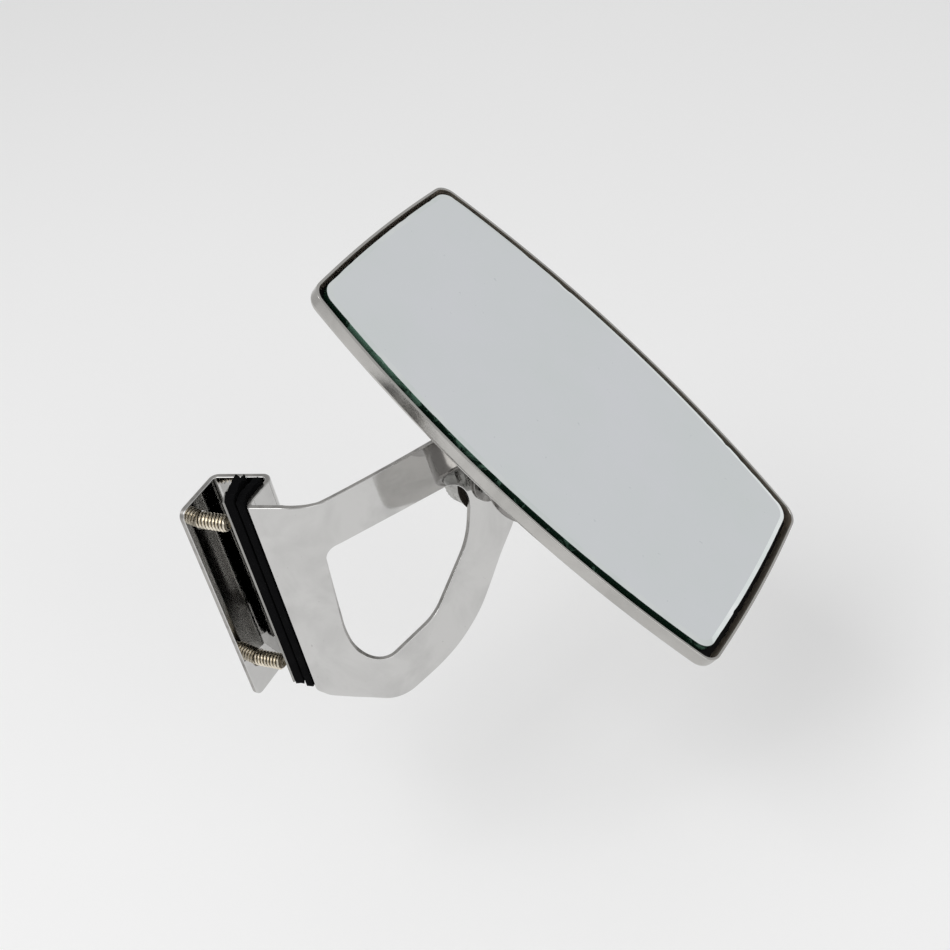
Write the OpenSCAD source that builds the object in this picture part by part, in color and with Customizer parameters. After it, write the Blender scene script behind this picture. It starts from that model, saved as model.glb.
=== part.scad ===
// Clamp-on interior rearview mirror in polished stainless steel.
// Frame: origin at the middle of the fixed rubber pad's gripping face, +Z up along the jaw,
// +X towards the arm, +Y away from the driver's side of the base plate.

/* [Sheet metal] */
// Thickness of the bracket sheet
sheet_t = 1.5; // [1.2:0.1:2]
// Length of the jaw along Z
jaw_len = 75; // [60:1:90]
// Inside radius of the jaw's tight bends
jaw_bend_r = 1.2; // [0.8:0.1:2]

/* [Jaw] */
// Outside width of the jaw's web, left of the base plate's corner
web_w = 14.8; // [13:0.1:18]
// Outside depth of the jaw, from the base plate's front to the web's back
jaw_depth = 13.7; // [12:0.1:16]
// Width of the screw flange along its outer face
flange_w = 16.3; // [14:0.1:18]
// Outward splay of the screw flange
flange_splay = 17; // [10:0.5:20]
// Radius of the flange's free corners
flange_corner_r = 2.5; // [1:0.5:4]
// Distance of the channel's lower end above the base plate's
channel_short = 1.2; // [0:0.1:2]
// Depth at which the wall turns, from the base plate's front
wall_turn_y = 3.6; // [3:0.1:5]
// How far the wall's turn stands out to the left
wall_turn_x = 1.25; // [0.8:0.05:1.6]
// Where the wall meets the web's inside, right of the base plate's corner
wall_top_x = 1.6; // [0.5:0.1:2.5]
// Radius of the base plate's lower corner
base_corner_r = 3.5; // [2:0.5:5]

/* [Pads] */
// Thickness of the fixed rubber pad
pad_t = 2.25; // [2:0.05:2.5]
// Gap between the two pads at the front with the jaw closed
pad_gap = 0.3; // [0.2:0.1:0.5]
// Depth of the two pads
pad_back = 10.5; // [9:0.1:10.6]
// Thickness of the pressure plate
plate_t = 0.6; // [0.5:0.1:1]
// Distance of the pressure plate from the base plate's corner, at the front
plate_x = 6.2; // [6:0.1:6.6]

/* [Set screws] */
// Outside diameter of the set screws
screw_d = 4.8; // [4:0.1:5]
// Length of each set screw
screw_len = 12.3; // [11:0.1:12.3]
// Angle of the screws to the base plate
screw_tilt = 10.5; // [6:0.5:12]
// Distance of the upper screw below the jaw's top
screw_top = 7.1; // [6.5:0.1:12]
// Distance between the two screws
screw_pitch = 55.3; // [40:0.1:56]
// Width across flats of the hexagon socket
socket_af = 2.5; // [2:0.1:3]

/* [Arm] */
// Distance from the jaw wall's outer corner to the start of the main bend, at the top
bend_x = 9; // [8:0.5:12]
// Slant of the main bend from the jaw's length
bend_slant = 8; // [4:0.5:10]
// Angle of the main bend
bend_angle = 55; // [45:1:60]
// Outside radius of the main bend
bend_r = 11; // [9:0.5:14]
// Distance of the pivot from the end of the main bend
pivot_u = 49.3; // [46:0.1:50]
// Height of the pivot below the jaw's top, along the bend
pivot_v = -36.2; // [-38:0.1:-34]
// Radius of the arm's rounded end
arm_end_r = 17; // [14:0.5:18]

/* [Ball joint] */
// Radius of the ball
ball_r = 7.5; // [7:0.1:8]
// Height of the ball's centre above the arm
ball_h = 12; // [12:0.5:14]
// Diameter of the stud in the arm
stud_d = 6; // [5:0.5:6.5]
// Radius of the round nuts behind the arm
nut_r = 10; // [9:0.5:11]
// Thickness of each round nut
nut_t = 3.5; // [3:0.1:4]
// Direction in which the head is tilted, about the stud
head_swivel = 57.4; // [50:0.1:65]
// Angle between the stud and the head's normal
head_tilt = 48.7; // [0:0.1:50]
// Turn of the head about its own normal
head_turn = -150.9; // [-165:0.1:-135]

/* [Mirror head] */
// Half the length of the head at its middle
head_l = 74.5; // [70:0.1:76]
// Half the height of the head at its middle
head_h = 44.5; // [42:0.1:46]
// Bulge of each long side
long_bulge = 6.75; // [5:0.25:8]
// Bulge of each short side
short_bulge = 1.3; // [0.5:0.1:2]
// Radius of the head's corners
corner_r = 4; // [3:0.5:6]
// Depth of the pan, rim to back
pan_depth = 5.2; // [5:0.1:6]
// Thickness of the pan's sheet
pan_t = 0.8; // [0.6:0.1:1]
// Rounding of the pan's back edge
pan_edge = 2; // [1:0.25:2.5]
// Shift of the ball from the head's middle along its length
foot_x = 4.4; // [0:0.1:6]
// Shift of the ball from the head's middle across its height
foot_y = -22.1; // [-24:0.1:-18]
// Distance from the ball's centre to the rim
rim_h = 16; // [16:0.1:18]

/* [Mirror glass] */
// Thickness of the glass
glass_t = 3; // [2.5:0.1:3.5]
// Gap between the glass and the rim
glass_gap = 2; // [1:0.1:2.5]
// Shift of the glass in the pan, towards one short end
glass_shift = 0.7; // [0:0.1:0.9]
// How far the glass's ground edge stands above the rim
glass_proud = 0.15; // [0:0.05:0.4]
// Width of the glass's bevel
bevel_w = 1.5; // [1:0.1:3]
// Depth of the glass's bevel
bevel_d = 0.4; // [0.2:0.1:1]

/* [Hidden] */
$fn = 64;

steel = [0.72, 0.71, 0.69];
dark_steel = [0.45, 0.45, 0.44];
rubber = [0.03, 0.03, 0.04];
nylon = [0.85, 0.83, 0.76];
glass = [0.86, 0.92, 0.95];
foam = [0.12, 0.12, 0.12];

// Running clearance of a round part in its hole
run_gap = 0.05;
// Air between flat faces that turn on each other
face_gap = 0.1;
// Clearance round the ball
ball_gap = 0.3;

function unit(v) = v / norm(v);
function right_of(a, b) = let (u = unit(b - a)) [u[1], -u[0]];
// A path moved sideways by d, to the right of its direction, with mitred corners
function beside(p, d) = [
    for (i = [0 : len(p) - 1])
        let (n0 = i > 0 ? right_of(p[i - 1], p[i]) : right_of(p[0], p[1]),
             n1 = i < len(p) - 1 ? right_of(p[i], p[i + 1]) : n0, m = unit(n0 + n1))
        p[i] + m * d / (m * n0)];
function reversed(p) = [for (i = [len(p) - 1 : -1 : 0]) p[i]];
function with_r(p, r) = [for (i = [0 : len(p) - 1]) [p[i][0], p[i][1], r[i]]];

// Section of the jaw, seen from above: the path of the sheet's face that holds the pads, from
// the base plate through wall and web to the flange's tip. The base plate's front is at y = 0.
splay_out = [-sin(flange_splay), -cos(flange_splay)];
splay_in = [cos(flange_splay), -sin(flange_splay)];
web_left = [-web_w, jaw_depth];
web_inner_y = jaw_depth - sheet_t;
flange_tip_in = web_left + flange_w * splay_out + sheet_t * splay_in;
flange_root_in = web_left + sheet_t * splay_in
    + (sheet_t * splay_in[1] + sheet_t) / cos(flange_splay) * splay_out;
base_stub = 7;
wall_foot = [-0.9, 0];
wall_turn = [-wall_turn_x, wall_turn_y];
wall_top = [wall_top_x, web_inner_y];
jaw_path = [[base_stub, 0], wall_foot, wall_turn, wall_top, flange_root_in, flange_tip_in];
jaw_r = [0, 1.6, 4, jaw_bend_r, jaw_bend_r, 0];
jaw_back_r = [0, 0.1, 2.5, jaw_bend_r + sheet_t, jaw_bend_r + sheet_t, 0];
wall_lean = atan2(wall_top[0] - wall_turn[0], wall_top[1] - wall_turn[1]);

// Screws: place on the flange's inner face, and direction into the jaw
screw_from_tip = 5.7;
screw_at = flange_tip_in - screw_from_tip * splay_out;
screw_out = 3.7;

// Pads: each keeps a hair of glue line off the metal that carries it
pad_front = 0.25;
glue = 0.02;
fixed_pad_ends = [1.2, 3.7];
moving_pad_ends = [2.2, 4.8];
plate_ends = [1.8, 5.4];
function on_line(a, b, y) = [a[0] + (b[0] - a[0]) * (y - a[1]) / (b[1] - a[1]), y];
function wall_side(d) = let (p = beside([wall_foot, wall_turn, wall_top], d))
    [on_line(p[0], p[1], pad_front), p[1], on_line(p[1], p[2], pad_back)];
pad_face = wall_side(-pad_t);
grip = on_line(pad_face[1], pad_face[2], pad_back / 2);
plate_face = [[-plate_x, pad_front], [-plate_x - 0.7, wall_turn_y],
              [-plate_x + 0.2, pad_back - 0.1]];
moving_face = [pad_face[0] - [pad_gap, 0], pad_face[1] - [pad_gap, 0],
               plate_face[2] + [2.7, 0]];

// Main bend
arc_len = bend_r * bend_angle * PI / 180;

// Frames. corner() has the base plate's front at y = 0 and its left corner at x = 0, at the top.
module corner() {
    translate([-grip[0], -grip[1], jaw_len / 2]) children();
}

// Start line of the main bend: x across it, z along it
module bend_start() {
    corner() translate([bend_x, 0, 0]) rotate([0, -bend_slant, 0]) children();
}

// Flat of the arm: x outwards, z along the bend, front face at y = 0
module arm_frame() {
    bend_start()
        translate([bend_r * sin(bend_angle), bend_r * (1 - cos(bend_angle)), 0])
            rotate([0, 0, bend_angle]) children();
}

// Stud axis: z out of the arm's front face
module pivot_frame() {
    arm_frame() translate([pivot_u, 0, pivot_v]) rotate([90, 0, 0]) children();
}

// Head: ball's centre at the origin, z out of the mirror's face
module head_frame() {
    pivot_frame() translate([0, 0, ball_h])
        rotate([0, 0, head_swivel]) rotate([0, head_tilt, 0]) rotate([0, 0, head_turn])
            children();
}

// Middle of the head on the ball's axis
module head_middle() {
    head_frame() translate([-foot_x, -foot_y, 0]) children();
}

module screw_frame(z) {
    corner() translate([screw_at[0], screw_at[1], z]) rotate([0, 0, -screw_tilt])
        rotate([0, 90, 0]) children();
}

// Polygon corners [x, y, r] turned into points, each rounded to its radius
function rounded(c, steps = 8) = [
    for (i = [0 : len(c) - 1])
        let (p = [c[i][0], c[i][1]], r = c[i][2],
             a = [for (k = [0, 1]) c[(i + len(c) - 1) % len(c)][k]],
             b = [for (k = [0, 1]) c[(i + 1) % len(c)][k]],
             u = unit(a - p), v = unit(b - p),
             half = acos(max(-1, min(1, u * v))) / 2,
             m = unit(u + v), centre = p + m * r / sin(half),
             side = sign(u[0] * v[1] - u[1] * v[0]),
             start = atan2(-m[1], -m[0]))
        for (k = [0 : (r > 0 ? steps : 0)])
            r > 0
                ? centre + r * [cos(start + side * (90 - half) * (1 - 2 * k / steps)),
                                sin(start + side * (90 - half) * (1 - 2 * k / steps))]
                : p];

// Outline of the bracket's flat blank: x across the main bend, y along it
blank = [
    [-bend_x + 4.3, 0.75, 0], [33, -8.9, 0], [72, -17.5, arm_end_r],
    [68, -49.5, arm_end_r], [34, -77.2, 26], [8, -77.4, 40],
    [-15.6, -73.5, 0]];

// Outline of the window in the blank
window = [
    [5.6, -17.2, 3.4], [55, -30.2, 8.3], [45.5, -48.2, 22], [26, -61.6, 14],
    [1.4, -61.8, 10.5], [1, -48, 25]];

// Where a point of the blank lands on the plane square to the bend's bisector
mid_r = bend_r - sheet_t / 2;
function on_bisector(u) =
    u < 0 ? -mid_r * sin(bend_angle / 2) + u * cos(bend_angle / 2)
    : u > arc_len ? mid_r * sin(bend_angle / 2) + (u - arc_len) * cos(bend_angle / 2)
    : mid_r * sin(u / arc_len * bend_angle - bend_angle / 2);
// A path with points added along the edges that cross the bend
function crosses(a, b) = max(a[0], b[0]) > 0 && min(a[0], b[0]) < arc_len;
function dense(path) = [
    for (i = [0 : len(path) - 1])
        let (a = path[i], b = path[(i + 1) % len(path)],
             n = crosses(a, b) ? max(1, ceil(abs(b[0] - a[0]) / 2.2)) : 1)
        for (k = [0 : n - 1]) a + (b - a) * k / n];
// The bent strip is a hair smaller than the flats all round, so that it ends inside them
function bent(path, more) = [
    for (p = dense(path)) [on_bisector(p[0]), p[1] + more * sign(p[1] + jaw_len / 2)]];

module blank_face() {
    difference() {
        polygon(rounded(blank));
        polygon(rounded(window));
    }
}

// Everything between two distances across the bend
module band(x0, x1) {
    translate([x0, -1, -jaw_len - 20]) cube([x1 - x0, sheet_t + 2, jaw_len + 40]);
}

module flat_part() {
    translate([0, sheet_t, 0]) rotate([90, 0, 0]) linear_extrude(sheet_t) children();
}

module bend_shell() {
    slim = 0.02;
    over = 0.1;
    translate([0, bend_r, -jaw_len - 20]) intersection() {
        difference() {
            cylinder(r = bend_r - slim, h = jaw_len + 40);
            translate([0, 0, -1]) cylinder(r = bend_r - sheet_t + slim, h = jaw_len + 42);
        }
        rotate([0, 0, -90 - over]) linear_extrude(jaw_len + 40)
            polygon([[0, 0], [20, 0], [30 * cos(bend_angle / 2), 30 * sin(bend_angle / 2)],
                     [20 * cos(bend_angle + 2 * over), 20 * sin(bend_angle + 2 * over)]]);
    }
}

module bend_cutter() {
    translate([0, bend_r, 0]) rotate([0, 0, bend_angle / 2])
        rotate([90, 0, 0]) linear_extrude(bend_r + 1)
            difference() {
                polygon(bent(rounded(blank), -0.15));
                polygon(bent(rounded(window), 0.15));
            }
}

jaw_section = concat(with_r(jaw_path, jaw_r),
                     reversed(with_r(beside(jaw_path, sheet_t), jaw_back_r)));

// Bar that cuts a corner at the origin to a radius
module corner_cut(r, depth) {
    translate([-0.02, -0.02, -depth / 2]) linear_extrude(depth)
        polygon(concat([[-1, r], [-1, -1], [r, -1]],
                       [for (k = [0 : 6]) [r - r * sin(15 * k), r - r * cos(15 * k)]]));
}

module bracket() {
    color(steel) difference() {
        union() {
            corner() translate([0, 0, channel_short - jaw_len])
                linear_extrude(jaw_len - channel_short) polygon(rounded(jaw_section));
            bend_start() intersection() {
                flat_part() blank_face();
                band(-40, 0);
            }
            bend_start() intersection() {
                bend_shell();
                bend_cutter();
            }
            arm_frame() intersection() {
                flat_part() translate([-arc_len, 0]) blank_face();
                band(0, 90);
            }
        }
        for (z = [-screw_top, -screw_top - screw_pitch])
            screw_frame(z) translate([0, 0, -8]) cylinder(d = screw_d + 2 * run_gap, h = 12);
        pivot_frame() translate([0, 0, -4]) cylinder(d = stud_d + 2 * run_gap, h = 8);
        // rounded free corners of the screw flange
        for (end = [0, 1])
            corner() translate([flange_tip_in[0], flange_tip_in[1],
                                (channel_short - jaw_len) * end])
                rotate([0, 0, -flange_splay]) mirror([0, 0, 1 - end]) rotate([90, 0, 90])
                    corner_cut(flange_corner_r, 12);
        // rounded lower corner of base plate and wall
        corner() translate([-1.3, 0, channel_short - jaw_len]) rotate([90, 0, 0])
            corner_cut(base_corner_r, 9);
    }
}

module upright(path, ends) {
    corner() translate([0, 0, ends[1] - jaw_len])
        linear_extrude(jaw_len + ends[0] - ends[1]) polygon(path);
}
module fixed_pad() {
    color(rubber) upright(concat(wall_side(-glue), reversed(pad_face)), fixed_pad_ends);
}
module moving_pad() {
    color(rubber)
        upright(concat(beside(plate_face, glue), reversed(moving_face)), moving_pad_ends);
}
module pressure_plate() {
    color(steel) upright(concat(plate_face, reversed(beside(plate_face, -plate_t))), plate_ends);
}

// Grub screw with a hexagon socket; its tip rests on the pressure plate
module set_screw(z) {
    color(steel) screw_frame(z) translate([0, 0, -screw_out]) difference() {
        union() {
            translate([0, 0, 0.5]) cylinder(d = screw_d, h = screw_len - 1.3);
            cylinder(d1 = screw_d - 1, d2 = screw_d, h = 0.5);
            translate([0, 0, screw_len - 0.8])
                cylinder(d1 = screw_d, d2 = screw_d - 1.6, h = 0.8);
        }
        translate([0, 0, -1])
            cylinder(d = socket_af / cos(30), h = 3.8, $fn = 6);
    }
}
module upper_set_screw() { set_screw(-screw_top); }
module lower_set_screw() { set_screw(-screw_top - screw_pitch); }

rear_washer_t = 0.8;
front_washer_t = 0.8;
nut_top = -sheet_t - rear_washer_t - 2 * face_gap;

module rear_washer() {
    color(rubber) pivot_frame() translate([0, 0, -sheet_t - rear_washer_t]) difference() {
        cylinder(r = nut_r + 0.5, h = rear_washer_t);
        translate([0, 0, -1]) cylinder(d = stud_d + 2 * run_gap, h = 4);
    }
}

module front_washer() {
    color(steel) pivot_frame() translate([0, 0, face_gap]) difference() {
        cylinder(r = stud_d + 0.8, h = front_washer_t);
        translate([0, 0, -1]) cylinder(d = stud_d, h = 4);
    }
}

neck_r = 2.3;
collar_t = 2;
stud_tail = 11.5;

module ball_stud() {
    color(steel) pivot_frame() {
        translate([0, 0, ball_h]) sphere(r = ball_r);
        translate([0, 0, 1]) cylinder(r = neck_r, h = ball_h - 4);
        translate([0, 0, face_gap + front_washer_t])
            cylinder(r = 5.5, h = collar_t, $fn = 6);
        translate([0, 0, -stud_tail]) cylinder(d = stud_d, h = stud_tail + 1.5);
    }
}

// Round nut with a small chamfer on both rims
module round_nut(top) {
    rim = 0.5;
    pivot_frame() translate([0, 0, top - nut_t]) rotate_extrude()
        polygon([[stud_d / 2, 0], [nut_r - rim, 0], [nut_r, rim], [nut_r, nut_t - rim],
                 [nut_r - rim, nut_t], [stud_d / 2, nut_t]]);
}
module thumb_nut() { color(dark_steel) round_nut(nut_top); }
module lock_nut() { color(dark_steel) round_nut(nut_top - nut_t); }

// Socket on the head's back. Heights are measured from the ball's centre.
pan_back = rim_h - pan_depth;
bore_r = 8.3;
housing_r = 9.4;
flange_r = 14;
lip_h = 2.4;
rivet_ring = 11.6;
rivet_d = 2.4;
seat_bottom = 1.8;
seat_top = 9;
spring_t = 1;

module ball_seat() {
    color(nylon) head_frame() difference() {
        translate([0, 0, seat_bottom]) cylinder(r = bore_r - 0.2, h = seat_top - seat_bottom);
        sphere(r = ball_r + 0.2);
        translate([0, 0, seat_top - 2]) cylinder(r = 1.5, h = 3);
    }
}

module disc_spring() {
    color(dark_steel) head_frame() translate([0, 0, seat_top + 0.15]) rotate_extrude()
        polygon([[3, 0], [7.8, spring_t - 0.5], [7.8, spring_t], [3, 0.5]]);
}

module thrust_washer() {
    color(steel) head_frame() translate([0, 0, seat_top + 0.15 + spring_t]) difference() {
        cylinder(r = 7.9, h = pan_back - seat_top - 0.15 - spring_t);
        translate([0, 0, -1]) cylinder(r = 4, h = 4);
    }
}

module socket_housing() {
    color(steel) head_frame() difference() {
        union() {
            translate([0, 0, -lip_h]) cylinder(r = housing_r, h = pan_back + lip_h);
            translate([0, 0, pan_back - 1.2]) cylinder(r = flange_r, h = 1.2);
        }
        cylinder(r = bore_r, h = pan_back + 1);
        sphere(r = ball_r + ball_gap);
        translate([0, 0, -lip_h - 2]) cylinder(r = 7.3, h = 2.1);
        rivet_holes();
    }
}

module rivet_holes() {
    for (a = [30 : 120 : 270])
        rotate([0, 0, a]) translate([rivet_ring, 0, pan_back - 3]) cylinder(d = rivet_d, h = 6);
}

// Three solid rivets through the housing's flange and the pan
module socket_rivets() {
    color(steel) head_frame() for (a = [30 : 120 : 270])
        rotate([0, 0, a]) translate([rivet_ring, 0, pan_back]) {
            translate([0, 0, -1.2]) cylinder(d = rivet_d, h = 1.2 + pan_t);
            translate([0, 0, pan_t]) cylinder(d = rivet_d + 1.6, h = 0.7);
            translate([0, 0, -1.9]) cylinder(d1 = rivet_d, d2 = rivet_d + 1.6, h = 0.7);
        }
}

// Barrel outline of the head, inset by d: bowed sides and rounded corners
function arc_side(half, bulge, reach, n) =
    let (r = (half * half + bulge * bulge) / (2 * bulge), a = asin(half / r))
    [for (k = [0 : n]) let (t = -a + 2 * a * k / n)
        [r * sin(t), reach - bulge + r * cos(t) - (r - bulge)]];
function turned(path, a) = [for (p = path) [p[0] * cos(a) - p[1] * sin(a),
                                            p[0] * sin(a) + p[1] * cos(a)]];
function barrel(d) =
    let (r = max(corner_r - d, 0.6),
         hx = head_l - short_bulge - corner_r, hy = head_h - long_bulge - corner_r,
         long_side = arc_side(hx, long_bulge, head_h - d, 16),
         short_side = arc_side(hy, short_bulge, head_l - d, 4),
         corner_pts = [for (k = [1 : 4]) let (t = 78 - 13.2 * k)
             [hx + r * cos(t), hy + r * sin(t)]],
         half = concat([for (i = [len(long_side) - 1 : -1 : 0]) [-long_side[i][0],
                                                                 long_side[i][1]]],
                       corner_pts,
                       [for (p = turned(short_side, -90)) p]))
    concat(half, turned(half, 180));

module slab(d, z, h) {
    translate([0, 0, z]) linear_extrude(h) polygon(barrel(d));
}

module mirror_pan() {
    color(steel) difference() {
        head_middle() difference() {
            hull() {
                slab(0, pan_back + pan_edge, pan_depth - pan_edge);
                slab(pan_edge * 0.3, pan_back + pan_edge * 0.3, 0.1);
                slab(pan_edge, pan_back, 0.1);
            }
            hull() {
                slab(pan_t, pan_back + pan_edge, pan_depth);
                slab(pan_edge, pan_back + pan_t, 0.1);
            }
        }
        head_frame() rivet_holes();
    }
}

glass_top = rim_h + glass_proud + bevel_d;

module foam_pad() {
    color(foam) difference() {
        head_middle() slab(pan_edge + 0.3, pan_back + pan_t, glass_top - glass_t - pan_back - pan_t);
        head_frame() translate([0, 0, pan_back]) cylinder(r = flange_r + 1, h = 6);
    }
}

module mirror_glass() {
    edge = pan_t + glass_gap;
    color(glass) head_middle() translate([-glass_shift, 0, 0]) hull() {
        slab(edge, glass_top - glass_t, glass_t - bevel_d);
        slab(edge + bevel_w, glass_top - 0.05, 0.05);
    }
}

bracket();
fixed_pad();
moving_pad();
pressure_plate();
upper_set_screw();
lower_set_screw();
rear_washer();
front_washer();
ball_stud();
thumb_nut();
lock_nut();
ball_seat();
disc_spring();
thrust_washer();
socket_housing();
socket_rivets();
mirror_pan();
foam_pad();
mirror_glass();
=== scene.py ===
"""Clamp-on interior mirror in polished stainless steel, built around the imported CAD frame.

All shapes are computed in millimetres in the frames that the CAD source uses, and scaled to
metres as each mesh is made.
"""
from math import acos, atan2, ceil, copysign, cos, degrees, hypot, pi, radians, sin, sqrt, tan

import bmesh
import bpy
import numpy as np
from mathutils import Matrix, Vector, noise
from mathutils.geometry import delaunay_2d_cdt


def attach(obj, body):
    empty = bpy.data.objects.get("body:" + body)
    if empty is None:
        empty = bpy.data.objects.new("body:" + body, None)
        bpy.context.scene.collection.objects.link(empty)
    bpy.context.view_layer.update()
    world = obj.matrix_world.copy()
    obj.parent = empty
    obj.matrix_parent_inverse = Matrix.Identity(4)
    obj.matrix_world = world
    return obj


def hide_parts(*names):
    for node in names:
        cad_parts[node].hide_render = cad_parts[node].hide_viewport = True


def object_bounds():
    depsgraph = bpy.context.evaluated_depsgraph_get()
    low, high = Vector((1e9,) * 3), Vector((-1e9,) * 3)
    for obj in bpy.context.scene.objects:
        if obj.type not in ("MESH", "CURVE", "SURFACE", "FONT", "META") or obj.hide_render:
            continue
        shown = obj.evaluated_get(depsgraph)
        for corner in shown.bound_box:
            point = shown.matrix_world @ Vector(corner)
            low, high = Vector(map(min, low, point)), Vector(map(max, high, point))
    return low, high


MM = 0.001
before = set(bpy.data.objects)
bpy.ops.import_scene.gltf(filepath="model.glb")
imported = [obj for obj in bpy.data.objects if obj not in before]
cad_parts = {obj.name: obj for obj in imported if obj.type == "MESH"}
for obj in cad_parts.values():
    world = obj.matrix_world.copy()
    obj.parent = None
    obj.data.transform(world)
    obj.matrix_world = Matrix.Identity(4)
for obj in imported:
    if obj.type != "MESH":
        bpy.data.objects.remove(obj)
cad_low, cad_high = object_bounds()


# ---------------- frames
def move(x, y, z):
    return Matrix.Translation((x, y, z))


def turn(angle, axis):
    return Matrix.Rotation(radians(angle), 4, axis)


# Thickness of the sheet and length of the jaw
SHEET, JAW = 1.5, 75.0
# Main bend: its start on the base plate, slant, angle, and radius on the pad side
BEND_X, BEND_SLANT, BEND_ANGLE, BEND_R = 9.0, 8.0, 55.0, 11.0
ARC = BEND_R * radians(BEND_ANGLE)
# Eye for the stud on the arm, height of the ball over it, and the head's angles at rest
EYE_X, EYE_Z = 49.3, -36.2
BALL_H = 12.0
HEAD_ANGLES = (57.4, 48.7, -150.9)
# Place of the joint on the back of the head
FOOT = (4.4, -22.1)
# Place of the set screws in the jaw's section, their slant and heights
SCREW_AT, SCREW_SLANT = (-16.465, 3.125), -10.5
SCREW_Z = (-7.1, -62.4)

CORNER = move(3.0735, -5.25, 37.5)
BEND = CORNER @ move(BEND_X, 0, 0) @ turn(-BEND_SLANT, "Y")
ARM = BEND @ move(BEND_R * sin(radians(BEND_ANGLE)),
                  BEND_R * (1 - cos(radians(BEND_ANGLE))), 0) @ turn(BEND_ANGLE, "Z")
PIVOT = ARM @ move(EYE_X, 0, EYE_Z) @ turn(90, "X")
HEAD = PIVOT @ move(0, 0, BALL_H) @ turn(HEAD_ANGLES[0], "Z") @ turn(HEAD_ANGLES[1], "Y") \
    @ turn(HEAD_ANGLES[2], "Z")
MIDDLE = HEAD @ move(-FOOT[0], -FOOT[1], 0)


def screw_frame(z):
    return CORNER @ move(*SCREW_AT, z) @ turn(SCREW_SLANT, "Z") @ turn(90, "Y")


# ---------------- 2D helpers
def unit(v):
    return v / np.linalg.norm(v)


def rounded(corners, steps=10):
    """Polygon corners (x, y, r) turned into points, each corner rounded to its radius."""
    out = []
    n = len(corners)
    for i in range(n):
        p = np.array(corners[i][:2], float)
        r = corners[i][2]
        a = np.array(corners[i - 1][:2], float)
        b = np.array(corners[(i + 1) % n][:2], float)
        if r <= 0:
            out.append(p)
            continue
        u, v = unit(a - p), unit(b - p)
        half = acos(max(-1, min(1, u @ v))) / 2
        t = r / tan(half)
        c = p + unit(u + v) * r / sin(half)
        p0, p1 = p + u * t, p + v * t
        a0 = atan2(*(p0 - c)[::-1])
        a1 = atan2(*(p1 - c)[::-1])
        d = (a1 - a0 + pi) % (2 * pi) - pi
        for k in range(steps + 1):
            q = a0 + d * k / steps
            out.append(c + r * np.array([cos(q), sin(q)]))
    return np.array(out)


def catmull(points, per=6):
    """A smooth curve through open points."""
    p = np.array(points, float)
    p = np.vstack([2 * p[0] - p[1], p, 2 * p[-1] - p[-2]])
    out = []
    for i in range(1, len(p) - 2):
        for k in range(per):
            t = k / per
            out.append(0.5 * (2 * p[i] + (p[i + 1] - p[i - 1]) * t
                              + (2 * p[i - 1] - 5 * p[i] + 4 * p[i + 1] - p[i + 2]) * t * t
                              + (3 * p[i] - p[i - 1] - 3 * p[i + 1] + p[i + 2]) * t ** 3))
    out.append(p[-2])
    return np.array(out)


def resample(path, step, closed=True):
    """Points added along long edges, and near-duplicates dropped."""
    out = []
    n = len(path)
    for i in range(n if closed else n - 1):
        a, b = path[i], path[(i + 1) % n]
        d = np.linalg.norm(b - a)
        if d < 0.02:
            continue
        for k in range(max(1, ceil(d / step))):
            out.append(a + (b - a) * k / max(1, ceil(d / step)))
    if not closed:
        out.append(path[-1])
    return np.array(out)


def area2(p):
    """Twice the signed area of a closed loop."""
    q = np.roll(p, -1, 0)
    return float((p[:, 0] * q[:, 1] - q[:, 0] * p[:, 1]).sum())


def outward(p):
    """Unit normals at a closed loop's points, pointing out of a counter-clockwise loop."""
    e = np.roll(p, -1, 0) - p
    e /= np.linalg.norm(e, axis=1)[:, None]
    n = np.stack([e[:, 1], -e[:, 0]], 1)
    m = n + np.roll(n, 1, 0)
    m /= np.linalg.norm(m, axis=1)[:, None]
    return m


def inset(p, n, d):
    """The loop moved inwards by d, with mitred corners."""
    e = np.roll(p, -1, 0) - p
    e /= np.linalg.norm(e, axis=1)[:, None]
    face = np.stack([e[:, 1], -e[:, 0]], 1)
    c = np.clip((n * face).sum(1), 0.5, 1)
    return p - n * (d / c)[:, None]


def inside(pts, loop):
    """Which points lie inside a closed loop."""
    x, y = pts[:, 0], pts[:, 1]
    hit = np.zeros(len(pts), bool)
    j = len(loop) - 1
    for i in range(len(loop)):
        xi, yi, xj, yj = *loop[i], *loop[j]
        hit ^= ((yi > y) != (yj > y)) & (x < (xj - xi) * (y - yi) / (yj - yi + 1e-12) + xi)
        j = i
    return hit


def triangulate(loops):
    """Triangles that fill the first loop less the others.

    Returns points, triangles, and for each point the loop points that it stands for."""
    verts, edges = [], []
    for loop in loops:
        base = len(verts)
        verts += [Vector(p) for p in loop]
        edges += [(base + i, base + (i + 1) % len(loop)) for i in range(len(loop))]
    out = delaunay_2d_cdt(verts, edges, [], 0, 1e-7)
    pts = np.array([tuple(v) for v in out[0]])
    tris = np.array([f for f in out[2]])
    mid = pts[tris].mean(1)
    keep = inside(mid, loops[0])
    for hole in loops[1:]:
        keep &= ~inside(mid, hole)
    tris = tris[keep]
    a, b, c = (pts[tris[:, k]] for k in range(3))
    flip = np.cross(b - a, c - a) < 0
    tris[flip] = tris[flip][:, ::-1]
    return pts, [tuple(int(i) for i in t) for t in tris], out[3]


# ---------------- mesh helpers
def add_object(name, data):
    o = bpy.data.objects.new(name, data)
    bpy.context.scene.collection.objects.link(o)
    return o


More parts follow.
